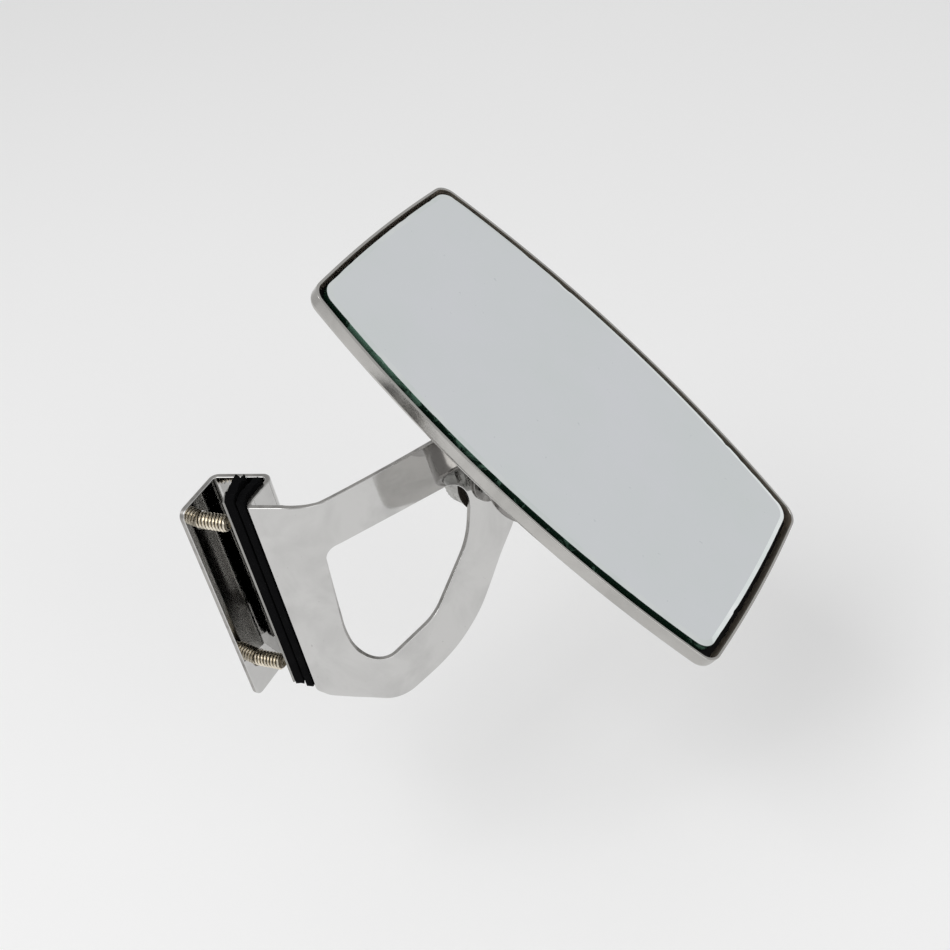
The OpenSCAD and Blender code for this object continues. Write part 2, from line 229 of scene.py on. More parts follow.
def to_mesh(name, verts, faces, frame_matrix=None, normals=None, slots=None, angle=35):
    """A mesh object from millimetre points. Normals are the analytic ones where given."""
    v = np.array(verts, float)
    if frame_matrix is not None:
        m = np.array(frame_matrix)
        v = v @ m[:3, :3].T + m[:3, 3]
    mesh = bpy.data.meshes.new(name)
    mesh.from_pydata((v * MM).tolist(), [], [list(f) for f in faces])
    mesh.update()
    mesh.shade_smooth()
    if slots is not None:
        mesh.polygons.foreach_set("material_index", np.array(slots, np.int32))
    if normals is not None:
        n = np.array(normals, float)
        if frame_matrix is not None:
            n = n @ np.array(frame_matrix)[:3, :3].T
        n /= np.maximum(np.linalg.norm(n, axis=1), 1e-9)[:, None]
        mesh.normals_split_custom_set_from_vertices(n.tolist())
    elif angle:
        mesh.set_sharp_from_angle(angle=radians(angle))
    return add_object(name, mesh)


def place(o, body, slot, materials, *nodes):
    """Gives a piece its materials and body, and hides the CAD nodes that it replaces; slot is not
    used.
    """
    for m in materials if isinstance(materials, (list, tuple)) else [materials]:
        o.data.materials.append(m)
    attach(o, body)
    if nodes:
        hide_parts(*nodes)
    return o


def angles(n):
    return [2 * pi * k / n for k in range(n)]


def polar(r, angle, z):
    return r * cos(angle), r * sin(angle), z


def band(a, b, n):
    """Faces between two rings of n points that start at indices a and b."""
    return [(a + k, a + (k + 1) % n, b + (k + 1) % n, b + k) for k in range(n)]


def cap_ring(verts, first, m, up):
    """Faces that close a ring of m points, seen from above or below."""
    ring = np.array(verts[first:first + m])[:, :2]
    tris, origin = triangulate([ring])[1:]
    lookup = {j: o[0] for j, o in enumerate(origin)}
    return [tuple(first + lookup[j] for j in (t if up else t[::-1])) for t in tris]


def plate(loops, low, high, edge, steps=3):
    """A flat plate between heights low and high with rounded edges.

    loops are the outline and its holes in the (a, b) plane; a point is (a, b, height).
    Returns points, faces and normals.
    """
    loops = [np.array(p) if (area2(np.array(p)) > 0) == (i == 0) else np.array(p)[::-1]
             for i, p in enumerate(loops)]
    outs = [outward(p) for p in loops]
    shrunk = [inset(p, n, edge) for p, n in zip(loops, outs)]
    pts, tris, origin = triangulate(shrunk)
    index = {}
    for i, orig in enumerate(origin):
        for k in orig:
            index[k] = i
    verts, norms, faces = [], [], []
    for h, up in ((high, 1), (low, -1)):
        base = len(verts)
        verts += [(*p, h) for p in pts]
        norms += [(0, 0, up)] * len(pts)
        faces += [tuple(base + i for i in (t if up > 0 else t[::-1])) for t in tris]
    top0, low0 = 0, len(pts)
    start = 0
    for loop, n, s in zip(loops, outs, shrunk):
        m = len(loop)
        rings = [[top0 + index[start + i] for i in range(m)]]
        for side, h in ((1, high), (-1, low)):
            order = range(1, steps + 1) if side > 0 else range(steps, 0, -1)
            for k in order:
                a = radians(90 * k / steps)
                base = len(verts)
                p = s + (loop - s) * sin(a)
                z = h - side * edge * (1 - cos(a))
                verts += [(*q, z) for q in p]
                norms += [(*(q * sin(a)), side * cos(a)) for q in n]
                rings.append([base + i for i in range(m)])
        rings.append([low0 + index[start + i] for i in range(m)])
        for r0, r1 in zip(rings, rings[1:]):
            faces += [(r0[i], r1[i], r1[(i + 1) % m], r0[(i + 1) % m]) for i in range(m)]
        start += m
    return np.array(verts), faces, np.array(norms)


def lathe(profile, n=72, closed=False):
    """A solid of revolution about Z from (radius, height) points, run from the axis or closed."""
    verts, rings, faces = [], [], []
    for r, z in profile:
        if r < 1e-6:
            rings.append([len(verts)])
            verts.append((0, 0, z))
        else:
            rings.append(list(range(len(verts), len(verts) + n)))
            verts += [polar(r, a, z) for a in angles(n)]
    pairs = list(zip(rings, rings[1:])) + ([(rings[-1], rings[0])] if closed else [])
    for a, b in pairs:
        for k in range(n):
            k1 = (k + 1) % n
            if len(a) == 1 and len(b) == 1:
                continue
            if len(a) == 1:
                faces.append((a[0], b[k1], b[k]))
            elif len(b) == 1:
                faces.append((a[k], a[k1], b[0]))
            else:
                faces.append((a[k], a[k1], b[k1], b[k]))
    return verts, faces


def arc(cx, cz, r, a0, a1, n=6):
    """Points of an arc for a lathe profile, from angle a0 to a1."""
    return [(cx + r * cos(radians(a0 + (a1 - a0) * k / n)),
             cz + r * sin(radians(a0 + (a1 - a0) * k / n))) for k in range(n + 1)]


# ---------------- materials
class Nodes:
    """Short way of writing the node tree of a material or a world."""

    def __init__(self, owner):
        owner.use_nodes = True
        self.owner = owner
        self.tree = owner.node_tree
        self.tree.nodes.clear()

    def put(self, socket, value):
        if isinstance(value, bpy.types.NodeSocket):
            self.tree.links.new(value, socket)
        else:
            socket.default_value = value

    def add(self, kind, inputs=None, **props):
        n = self.tree.nodes.new(kind)
        for k, v in props.items():
            setattr(n, k, v)
        for k, v in (inputs or {}).items():
            self.put(n.inputs[k], v)
        return n

    def coords(self, scale=(1, 1, 1), rotation=(0, 0, 0)):
        t = self.add("ShaderNodeTexCoord")
        return self.add("ShaderNodeMapping", {"Vector": t.outputs["Object"], "Scale": scale,
                                              "Rotation": rotation}).outputs[0]

    def noise(self, vector, scale, detail=4.0, rough=0.55, distortion=0.0):
        return self.add("ShaderNodeTexNoise", {"Vector": vector, "Scale": scale,
                                               "Detail": detail, "Roughness": rough,
                                               "Distortion": distortion}).outputs["Fac"]

    def span(self, value, low, high, a=0.0, b=1.0):
        return self.add("ShaderNodeMapRange", {"Value": value, "From Min": low, "From Max": high,
                                               "To Min": a, "To Max": b}).outputs[0]

    def mix(self, fac, a, b):
        n = self.add("ShaderNodeMix", {0: fac}, data_type="RGBA")
        for k, v in ((6, a), (7, b)):
            self.put(n.inputs[k], v if isinstance(v, bpy.types.NodeSocket) else (*v, 1))
        return n.outputs[2]

    def maths(self, op, a, b):
        return self.add("ShaderNodeMath", {0: a, 1: b}, operation=op).outputs[0]

    def bump(self, height, strength, distance, normal=None):
        inputs = {"Height": height, "Strength": strength, "Distance": distance}
        if normal is not None:
            inputs["Normal"] = normal
        return self.add("ShaderNodeBump", inputs).outputs[0]

    def shader(self, **inputs):
        b = self.add("ShaderNodeBsdfPrincipled",
                     {k.replace("_", " "): v for k, v in inputs.items()})
        self.add("ShaderNodeOutputMaterial", {0: b.outputs[0]})
        return self.owner


def new_material(name):
    return Nodes(bpy.data.materials.new(name))


def polished_steel(name, tint=(0.62, 0.615, 0.605), rough=(0.02, 0.07), wave=0.8, scratch=0.25):
    """Machine-polished stainless sheet: faint smudges, fine hair scratches, slight waviness."""
    m = new_material(name)
    c = m.coords()
    smudge = m.noise(c, 55.0, 5.0, 0.6, 0.6)
    hair = m.noise(m.coords((1, 1, 14), (0.3, 0.5, 0.2)), 900.0, 2.0, 0.6)
    dark = tuple(t * 0.86 for t in tint)
    color = m.mix(m.span(smudge, 0.42, 0.68), tint, dark)
    speck = m.noise(c, 700.0, 2.0, 0.5)
    color = m.mix(m.span(speck, 0.74, 0.78, 0.0, 0.5), color, (0.20, 0.18, 0.16))
    roughness = m.span(m.maths("ADD", smudge, m.maths("MULTIPLY", hair, scratch)),
                       0.4, 0.95, rough[0], rough[1])
    wavy = m.noise(c, 26.0, 1.0, 0.4)
    n = m.bump(wavy, 0.10 * wave, 0.002)
    n = m.bump(hair, 0.002, 0.0002, n)
    return m.shader(Base_Color=color, Metallic=1.0, Roughness=roughness, Normal=n)


def turned_steel(name, tint, rough=(0.2, 0.38), grain=1500.0):
    """Turned or plated small hardware, with dirt in patches."""
    m = new_material(name)
    c = m.coords()
    patch = m.noise(c, 220.0, 4.0, 0.6)
    fine = m.noise(c, grain, 3.0, 0.6)
    color = m.mix(m.span(patch, 0.45, 0.7), tint, tuple(t * 0.62 for t in tint))
    roughness = m.span(patch, 0.35, 0.7, rough[0], rough[1])
    return m.shader(Base_Color=color, Metallic=1.0, Roughness=roughness,
                    Normal=m.bump(fine, 0.15, 0.0001))


def rubber_material(name, base=(0.0022, 0.0022, 0.0026), rough=(0.75, 0.95)):
    """Black sheet rubber with a fine cloth-like grain and a little dust."""
    m = new_material(name)
    c = m.coords()
    grain = m.noise(c, 1900.0, 3.0, 0.6)
    dust = m.noise(c, 160.0, 5.0, 0.65)
    color = m.mix(m.span(dust, 0.55, 0.8, 0.0, 0.5), base, tuple(b * 3.0 + 0.003 for b in base))
    roughness = m.span(dust, 0.3, 0.7, rough[0], rough[1])
    n = m.bump(m.maths("ADD", grain, m.maths("MULTIPLY", dust, 0.8)), 0.5, 0.0003)
    return m.shader(Base_Color=color, Roughness=roughness, Specular_IOR_Level=0.05, Normal=n)


def plastic_material(name, base, rough=(0.35, 0.5)):
    """Moulded plastic, faintly mottled."""
    m = new_material(name)
    c = m.coords()
    mottle = m.noise(c, 300.0, 4.0, 0.6)
    color = m.mix(m.span(mottle, 0.4, 0.7), base, tuple(b * 0.86 for b in base))
    return m.shader(Base_Color=color, Roughness=m.span(mottle, 0.3, 0.7, rough[0], rough[1]),
                    Normal=m.bump(mottle, 0.2, 0.0001))


def mirror_material():
    """Silvered glass: a very smooth pale reflector with faint marks."""
    m = new_material("mirror_face")
    c = m.coords()
    haze = m.noise(c, 30.0, 4.0, 0.6)
    mark = m.noise(c, 520.0, 2.0, 0.5)
    # The pale blue, cloudy tint is partly the glass's own and partly a painted reflection of a
    # pale sky.
    glass_and_sky_tint = m.mix(m.span(haze, 0.35, 0.7), (0.93, 0.955, 0.985), (0.90, 0.945, 0.95))
    color = m.mix(m.span(mark, 0.73, 0.77, 0.0, 0.3), glass_and_sky_tint, (0.66, 0.71, 0.74))
    roughness = m.span(haze, 0.3, 0.75, 0.012, 0.05)
    return m.shader(Base_Color=color, Metallic=1.0, Roughness=roughness)


def bevel_material():
    """Bevel of the silvered glass, a little duller than its face."""
    m = new_material("mirror_bevel")
    c = m.coords()
    band = m.noise(c, 90.0, 3.0, 0.6)
    color = m.mix(m.span(band, 0.35, 0.7), (0.95, 0.985, 0.985), (0.84, 0.90, 0.89))
    return m.shader(Base_Color=color, Metallic=1.0, Roughness=m.span(band, 0.3, 0.7, 0.03, 0.09))


# Middle of the stretch where the edge of the glass is most chipped
CHIPPED = tuple(c * MM for c in (MIDDLE @ Vector((-48, -40.5, 15))))


def glass_edge_material():
    """Ground edge of float glass: deep green, with pale chipped patches."""
    m = new_material("glass_edge")
    c = m.coords()
    chip = m.noise(c, 95.0, 5.0, 0.72, 1.2)
    fine = m.noise(c, 900.0, 3.0, 0.6)
    spot = m.add("ShaderNodeVectorMath", {0: m.add("ShaderNodeTexCoord").outputs["Object"],
                                          1: CHIPPED}, operation="DISTANCE").outputs["Value"]
    near = m.span(spot, 0.004, 0.018, 0.16, 0.0)
    color = m.mix(m.span(m.maths("ADD", chip, near), 0.57, 0.64),
                  (0.0045, 0.017, 0.010), (0.085, 0.17, 0.125))
    roughness = m.span(fine, 0.3, 0.7, 0.10, 0.32)
    return m.shader(Base_Color=color, Roughness=roughness, Specular_IOR_Level=0.5,
                    Normal=m.bump(m.maths("ADD", chip, m.maths("MULTIPLY", fine, 0.3)), 0.35,
                                  0.0006))


STEEL = polished_steel("polished_sheet")
EDGE = turned_steel("sheared_edge", (0.40, 0.39, 0.375), (0.2, 0.4), 900.0)
PAN_OUT = polished_steel("pan_satin", (0.52, 0.51, 0.49), (0.14, 0.22), 0.6, 0.5)
PAN_IN = turned_steel("pan_inside", (0.80, 0.71, 0.60), (0.45, 0.6), 500.0)
# The pressure plate's steel is tinted dark as painted shade between the rubber pads.
PLATE = polished_steel("plate_steel", (0.36, 0.355, 0.34), (0.12, 0.25), 0.8, 0.4)
SCREW = turned_steel("screw_steel", (0.86, 0.79, 0.66), (0.14, 0.3))
# The groove steel's dark tint is painted shade in the screws' thread grooves, with a little
# grime.
GROOVE_SHADE = turned_steel("screw_groove_shade", (0.13, 0.11, 0.08), (0.3, 0.5))
WASHER = turned_steel("washer_steel", (0.31, 0.30, 0.29))
BALL = turned_steel("ball_steel", (0.34, 0.34, 0.33), (0.08, 0.2))
NUT = turned_steel("nut_steel", (0.46, 0.455, 0.44), (0.25, 0.45))
SPRING = turned_steel("spring_steel", (0.15, 0.14, 0.14), (0.25, 0.45))
HOUSING = polished_steel("housing_steel", (0.30, 0.29, 0.28), (0.14, 0.28), 0.6)
RIVET = turned_steel("rivet_steel", (0.66, 0.65, 0.62), (0.2, 0.36))
RUBBER = rubber_material("rubber")
FOAM = rubber_material("black_foam", (0.008, 0.008, 0.008), (0.8, 0.95))
FIBRE = rubber_material("fibre", (0.02, 0.017, 0.014), (0.6, 0.85))
NYLON = plastic_material("nylon", (0.72, 0.69, 0.60))
MIRROR = mirror_material()
BEVEL = bevel_material()
GLASS_EDGE = glass_edge_material()

# ---------------- bracket: fold of a flat blank
# Cosine and sine of the main bend's slant
C8, S8 = cos(radians(BEND_SLANT)), sin(radians(BEND_SLANT))


def from_uv(u, v):
    """Blank coordinates across and along the main bend, to the flat's (x, z)."""
    return BEND_X + u * C8 - v * S8, u * S8 + v * C8


# Section of the jaw along the pad side, from the base plate over the wall and web to the flange
JAW_PATH = np.array([[0.55, 0], [-0.9, 0], [-1.25, 3.6], [1.6, 12.2], [-13.690, 12.2],
                     [-18.132, -2.326]])
JAW_RADII = [0, 1.6, 4, 1.2, 1.2, 0]


def jaw_track():
    """Straight and curved stretches of the jaw's section along the face that holds the pads."""
    track, s = [], 0.0
    p = JAW_PATH[0]
    for i in range(1, len(JAW_PATH)):
        d = unit(JAW_PATH[i] - JAW_PATH[i - 1])
        heading = atan2(d[1], d[0])
        if i + 1 < len(JAW_PATH):
            d2 = unit(JAW_PATH[i + 1] - JAW_PATH[i])
            delta = atan2(d[0] * d2[1] - d[1] * d2[0], d @ d2)
            t = JAW_RADII[i] * tan(abs(delta) / 2)
        else:
            delta, t = 0, 0
        end = JAW_PATH[i] - d * t
        length = max(float((end - p) @ d), 0.0)
        track.append((s, length, p, heading, 0, 0))
        s += length
        if delta:
            r = JAW_RADII[i]
            track.append((s, r * abs(delta), end, heading, copysign(r, delta), delta))
            s += r * abs(delta)
            p = JAW_PATH[i] + d2 * t
    return track, s


# Press marks beside the main bend: slope in degrees, reach, and radians per millimetre
RIPPLE, RIPPLE_LONG, RIPPLE_RATE = 1.3, 6.0, 3.4
TRACK, JAW_LONG = jaw_track()
# Flat position where the jaw starts
SPLIT = float(JAW_PATH[0][0])


def directions(a):
    """Unit vectors along and across a heading."""
    return Vector((cos(a), sin(a), 0)), Vector((-sin(a), cos(a), 0))


def fold(x, z, h):
    """Flat point (x, z) at depth h to the row frame, with the directions of x, h and z there."""
    if x >= SPLIT:
        u, v = (x - BEND_X) * C8 + z * S8, -(x - BEND_X) * S8 + z * C8
        a = min(max(u / BEND_R, 0), radians(BEND_ANGLE))
        eu, eh = directions(a)
        past = max(u - ARC, 0) + min(u, 0)
        p = Vector((0, BEND_R, v)) - eh * (BEND_R - h) + eu * past
        if ARC < u < ARC + RIPPLE_LONG:
            fade = 1 - (u - ARC) / RIPPLE_LONG
            a += radians(RIPPLE) * sin((u - ARC) * RIPPLE_RATE) * fade
            eu, eh = directions(a)
        rot = BEND.to_3x3()
        ev = Vector((0, 0, 1))
        ex, ez = eu * C8 - ev * S8, eu * S8 + ev * C8
        return BEND @ p, rot @ ex, rot @ eh, rot @ ez
    s = SPLIT - x
    for s0, length, p, angle, r, delta in reversed(TRACK):
        if s >= s0 - 1e-9:
            break
    ds = s - s0
    if r:
        left = np.array([-sin(angle), cos(angle)])
        centre = p + left * r
        a = ds / r
        off = p - centre
        q = centre + np.array([off[0] * cos(a) - off[1] * sin(a),
                               off[0] * sin(a) + off[1] * cos(a)])
        angle += a
    else:
        q = p + ds * np.array([cos(angle), sin(angle)])
    d = np.array([cos(angle), sin(angle)])
    n = np.array([d[1], -d[0]])
    q = q + n * h
    return (CORNER @ Vector((q[0], q[1], z)), Vector((-d[0], -d[1], 0)),
            Vector((n[0], n[1], 0)), Vector((0, 0, 1)))


# Edges of the arms across and along the main bend, and the window's corners with radii
TOP_EDGE = [(0, -0.1), (4, -1.3), (8, -2.8), (11.5, -4.1), (20, -6.3), (33, -9.4), (47.2, -12.5)]
LOW_EDGE = [(60.2, -56), (53.2, -61.1), (46.3, -66.9), (39.1, -72.2), (30, -75.95), (21.2, -77.3),
            (11, -77.15), (4, -76.75), (-2.2, -75.7), (-8.7, -74.75)]
WINDOW = [(5.4, -17.0, 3.6), (55, -30.2, 8.3), (45.5, -48.2, 22), (26, -61.6, 14),
          (-1.2, -62.2, 10.5), (-0.9, -47, 30)]


# Eye: its place across and along the main bend, and radius
EYE_UV, EYE_R = (59.86, EYE_Z), 3.1
# Screw holes: distance from the flange's free edge, and half sizes
HOLE_IN, HOLE_HALF = 5.7, (2.56, 2.52)
# Rounding of the sheared edges, and points across each bend's stretch
EDGE_ROUND, BEND_CUTS = 0.22, 24


def blank_loops():
    """Outline and holes of the flat blank in (x, z)."""
    tip = SPLIT - JAW_LONG
    arm = rounded([(*TOP_EDGE[-1], 0), (72, -17.5, 17), (68, -49.5, 17), (*LOW_EDGE[0], 0)])
    uv = np.vstack([catmull(TOP_EDGE), arm[1:-1], catmull(LOW_EDGE)])
    xz = np.array([from_uv(*p) for p in uv])
    # lower corner of base plate and wall, then the jaw's lower edge, and back along the top
    rest = rounded([(*xz[-1], 0), (3.4, -74.9, 4.5), (-1.2, -72.3, 1.5), (-4.6, -72.3, 1.0),
                    (-5.6, -73.8, 0.8), (tip, -73.8, 2.5), (tip, 0, 2.5), (*xz[0], 0)], 7)
    outline = resample(np.vstack([xz, rest[1:-1]]), 2.4)
    window = resample(np.array([from_uv(*p) for p in rounded(WINDOW, 16)]), 2.4)
    circle = [(cos(a), sin(a)) for a in np.linspace(0, 2 * pi, 33)[:-1]]
    eye = np.array(from_uv(*EYE_UV))
    holes = [np.array([eye + EYE_R * np.array(c) for c in circle])]
    for z in SCREW_Z:
        holes.append(np.array([(tip + HOLE_IN + HOLE_HALF[0] * c[0], z + HOLE_HALF[1] * c[1])
                               for c in circle]))
    return [outline, window, *holes]


def bend_lines():
    """Lines (point, normal) on the flat along which the blank is cut before it is folded."""
    lines = []
    for u in [ARC * k / BEND_CUTS for k in range(BEND_CUTS + 1)] \
            + [ARC + RIPPLE_LONG * k / BEND_CUTS for k in range(1, BEND_CUTS + 1)]:
        lines.append(((BEND_X + u * C8, u * S8), (C8, S8)))
    for s0, length, p, angle, r, delta in TRACK:
        if r:
            n = max(5, ceil(abs(degrees(delta)) / 9))
            lines += [((SPLIT - s0 - length * k / n, 0), (1, 0)) for k in range(n + 1)]
    return lines


def build_bracket():
    """The blank as a plate, cut along every bend line and folded, with its normals."""
    verts, faces, norms = plate(blank_loops(), 0.0, SHEET, EDGE_ROUND)
    bm = bmesh.new()
    layer = bm.verts.layers.float_vector.new("flat_normal")
    # depth runs from the pad side (0) to the back (SHEET)
    made = []
    for v, n in zip(verts, norms):
        w = bm.verts.new(v)
        w[layer] = n
        made.append(w)
    for f in faces:
        corners = [made[i] for i in f]
        if not bm.faces.get(corners):
            bm.faces.new(corners)
    for (x, z), (nx, nz) in bend_lines():
        bmesh.ops.bisect_plane(bm, geom=bm.verts[:] + bm.edges[:] + bm.faces[:], dist=1e-5,
                               plane_co=(x, z, 0), plane_no=(nx, nz, 0))
    bmesh.ops.triangulate(bm, faces=[f for f in bm.faces if len(f.verts) > 4])
    bm.verts.index_update()
    out_v, out_n = [], []
    for v in bm.verts:
        p, ex, eh, ez = fold(v.co.x, v.co.y, v.co.z)
        n = v[layer].normalized()
        out_v.append(tuple(p))
        out_n.append(tuple(ex * n.x + ez * n.y + eh * n.z))
    out_f = [[v.index for v in f.verts] for f in bm.faces]
    slots = []
    for f in bm.faces:
        c = f.calc_center_median()
        slots.append(1 if 0.2 < c.z < SHEET - 0.2 else 0)
    bm.free()
    # (x, z, depth) is a left-handed set, so the faces turn over as they are folded
    return out_v, [f[::-1] for f in out_f], out_n, slots


bv, bf, bn, bs = build_bracket()
bracket = to_mesh("bracket_sheet", bv, bf, normals=bn, slots=bs)
place(bracket, "bracket", "polished_sheet", [STEEL, EDGE], "bracket")


# ---------------- pads and pressure plate
def beside(path, d):
    """A path moved by d to the right of its direction, with mitred corners."""
    out = []
    for i in range(len(path)):
        ns = []
        for a, b in ((i - 1, i), (i, i + 1)):
            if a >= 0 and b < len(path):
                u = unit(path[b] - path[a])
                ns.append(np.array([u[1], -u[0]]))
        m = unit(sum(ns))
        out.append(path[i] + m * d / (m @ ns[0]))
    return np.array(out)


def at_y(a, b, y):
    """Point of the line through a and b at this y."""
    return a + (b - a) * (y - a[1]) / (b[1] - a[1])


def wall_side(d):
    """The jaw wall's pad side moved by d, over the length that the pad covers."""
    p = beside(JAW_PATH[1:4], d)
    return np.array([at_y(p[0], p[1], 0.25), p[1], at_y(p[1], p[2], 10.5)])


# Thickness of the fixed pad, and the section of the pressure plate's face
PAD_T = 2.25
PLATE_FACE = np.array([[-6.2, 0.25], [-6.9, 3.6], [-6.0, 10.4]])
PAD_FACE = wall_side(-PAD_T)
MOVING_FACE = np.array([PAD_FACE[0] - [0.3, 0], PAD_FACE[1] - [0.3, 0], PLATE_FACE[2] + [2.7, 0]])


def pad(name, section, z_low, z_high, seed, rag=(0.5, 0.5), fixed_side=None):
    """A strip of rubber: rounded section, slightly uneven free sides and ragged ends.

    rag is how far the lower and upper end are torn; fixed_side is the side that stays true."""
    loop = rounded([(*p, 0.28) for p in section], 3)
    loop = resample(loop, 0.9)
    if area2(loop) < 0:
        loop = loop[::-1]
    n2 = outward(loop)
    m = len(loop)
    glued = np.zeros(m, bool)
    if fixed_side is not None:
        for a, b in zip(fixed_side, fixed_side[1:]):
            ab = b - a
            t = np.clip(((loop - a) @ ab) / (ab @ ab), 0, 1)
            glued |= np.linalg.norm(loop - (a + t[:, None] * ab), axis=1) < 0.12
    levels = [z_low, z_low + 0.12] + list(np.linspace(z_low + 0.6, z_high - 0.6, 54)) \
        + [z_high - 0.12, z_high]
    verts, faces = [], []
    for i, z in enumerate(levels):
        end = min(i, len(levels) - 1 - i)
        shrink = {0: 0.14, 1: 0.03}.get(end, 0.0)
        for k, (p, n) in enumerate(zip(loop, n2)):
            wob = noise.noise(Vector((p[0] * 0.25 + seed, p[1] * 0.25, z * 0.13))) * 0.16
            wob += noise.noise(Vector((p[0] * 0.6, p[1] * 0.6 + seed, z * 0.7))) * 0.07
            q = p - n * (shrink + (0 if glued[k] else 0.05 + abs(wob) * 0.6))
            side = -1 if i < len(levels) / 2 else 1
            amp = rag[0] if side < 0 else rag[1]
            fall = max(0.0, 1 - end / 4)
            jag = noise.noise(Vector((p[0] * 0.7 + seed, p[1] * 0.7, 3.1 * side))) + 0.5
            jag += 0.5 * noise.noise(Vector((p[0] * 2.3, p[1] * 2.3 + seed, 9.7 * side)))
            verts.append((q[0], q[1], z - side * amp * max(0, jag) * fall))
    last = len(levels) - 1
    for i in range(last):
        faces += band(i * m, (i + 1) * m, m)
    faces += cap_ring(verts, 0, m, False) + cap_ring(verts, last * m, m, True)
    return to_mesh(name, verts, faces, CORNER, angle=50)


fixed_section = np.vstack([wall_side(-0.02), PAD_FACE[::-1]])
moving_section = np.vstack([beside(PLATE_FACE, 0.02), MOVING_FACE[::-1]])
fixed_pad = pad("fixed_rubber_pad", fixed_section, 3.2 - JAW, 1.9, 3.3, (0.7, 0.8),
                wall_side(-0.02))
place(fixed_pad, "bracket", "rubber", RUBBER, "fixed_pad")
moving_pad = pad("moving_rubber_pad", moving_section, 4.2 - JAW, 3.0, 11.9, (0.9, 1.4),
                 beside(PLATE_FACE, 0.02))
place(moving_pad, "clamp_jaw", "rubber", RUBBER, "moving_pad")

strip = np.vstack([PLATE_FACE, beside(PLATE_FACE, -0.6)[::-1]])
strip = resample(rounded([(*p, r) for p, r in zip(strip, (0, 1.5, 0, 0, 2.1, 0))], 6), 1.5)
pv, pf, pn = plate([strip], 5.4 - JAW, 1.8, 0.12, 2)
plate_object = to_mesh("pressure_plate_strip", pv, pf, CORNER, normals=pn)
# The plate's dark tint is painted shade between the rubber pads.
place(plate_object, "clamp_jaw", "plate_steel", PLATE, "pressure_plate")


# ---------------- set screws
# Thread of the screws: pitch, crest and root radius; points round each ring and rings
PITCH, CREST, ROOT, AROUND, RINGS = 1.058, 2.4, 1.72, 44, 150
SCREW_LONG, SCREW_START, SOCKET_R = 12.3, -3.7, 1.25


def thread_ring(h, phase):
    """Ring of the thread at height h, chamfered at both ends."""
    cap = min(1.75 + h * 1.1, CREST, 1.6 + (SCREW_LONG - h) * 1.0)
    out = []
    for a in angles(AROUND):
        t = (h / PITCH - a / (2 * pi) + phase) % 1.0
        ridge = min(1.0, max(0.0, (0.5 - abs(t - 0.5)) * 2 * 1.3 - 0.18))
        out.append(polar(min(ROOT + (CREST - ROOT) * ridge, cap), a, SCREW_START + h))
    return out


def hexagon(scale, h):
    """Ring of the hexagon socket at height h."""
    out = []
    for a in angles(AROUND):
        q = (a + pi / 6) % (pi / 3) - pi / 6
        out.append(polar(SOCKET_R * scale / cos(q), a, SCREW_START + h))
    return out


def set_screw(name, z, body, node, phase):
    """Socket set screw with a right-hand thread, and a cup in the end at the pressure plate."""
    n = AROUND
    verts = [p for i in range(RINGS + 1) for p in thread_ring(SCREW_LONG * i / RINGS, phase)]
    faces = [f for i in range(RINGS) for f in band(i * n, (i + 1) * n, n)]
    # Faces deep in the thread take slot 1, the dark groove steel: painted shade in the grooves,
    # with a little grime.
    slots = []
    for f in faces:
        mean_r = sum(hypot(*verts[j][:2]) for j in f) / 4
        slots.append(1 if mean_r < ROOT + 0.4 * (CREST - ROOT) else 0)
    previous = 0
    for scale, h in ((1.06, 0.0), (1.0, 0.12), (1.0, 2.6)):
        base = len(verts)
        verts += hexagon(scale, h)
        faces += [(b, a, d, c) for a, b, c, d in band(previous, base, n)]
        previous = base
    verts.append((0, 0, SCREW_START + 3.1))
    faces += [(previous + (k + 1) % n, previous + k, len(verts) - 1) for k in range(n)]
    previous = RINGS * n
    for r, depth in ((1.45, 0), (1.1, 0.25), (0.4, 0.5)):
        base = len(verts)
        verts += [polar(r, a, SCREW_START + (SCREW_LONG - depth)) for a in angles(n)]
        faces += band(previous, base, n)
        previous = base
    verts.append((0, 0, SCREW_START + SCREW_LONG - 0.55))
    faces += [(previous + k, previous + (k + 1) % n, len(verts) - 1) for k in range(n)]
    slots += [0] * (len(faces) - len(slots))
    o = to_mesh(name, verts, faces, screw_frame(z), slots=slots, angle=50)
    return place(o, body, "screw_steel", [SCREW, GROOVE_SHADE], node)


set_screw("upper_grub_screw", SCREW_Z[0], "upper_screw", "upper_set_screw", 0.2)
set_screw("lower_grub_screw", SCREW_Z[1], "lower_screw", "lower_set_screw", 0.6)


# ---------------- pivot hardware
def round_nut(name, top, node, knurl_phase):
    """Round nut with a straight-knurled rim and chamfered edges."""
    n, r, t, bore, rim = 180, 10.0, 3.5, 3.0, 0.5
    rings = [(bore, 0.35), (bore + 0.35, 0), (r - rim, 0), (r, rim), (r, t - rim), (r - rim, t),
             (bore + 0.35, t), (bore, t - 0.35)]
    verts, faces = [], []
    for rr, z in rings:
        for k, a in enumerate(angles(n)):
            knurl = 0.16 * (0.5 - 0.5 * cos(pi * (k % 4) / 2)) if rr > r - 0.1 else 0
            verts.append(polar(rr - knurl, a + knurl_phase, top - t + z))
    m = len(rings)
    for i in range(m):
        faces += band(i * n, (i + 1) % m * n, n)
    o = to_mesh(name, verts, faces, PIVOT, angle=30)
    return place(o, "pivot_stud", "nut_steel", NUT, node)


round_nut("round_nut_upper", -2.5, "thumb_nut", 0.0)
round_nut("round_nut_lower", -6.0, "lock_nut", 0.4)


def lathe_object(name, profile, matrix, body, slot, material, *nodes, n=72, closed=False):
    verts, faces = lathe(profile, n, closed)
    return place(to_mesh(name, verts, faces, matrix, angle=30), body, slot, material, *nodes)


def thread_profile(r, z0, z1, pitch):
    """Ridges for a threaded stretch, from z0 up to z1, as plain rings."""
    out = []
    count = int((z1 - z0) / pitch)
    for i in range(count):
        z = z0 + i * pitch
        out += [(r - 0.35, z), (r, z + pitch * 0.42), (r, z + pitch * 0.58)]
    return out


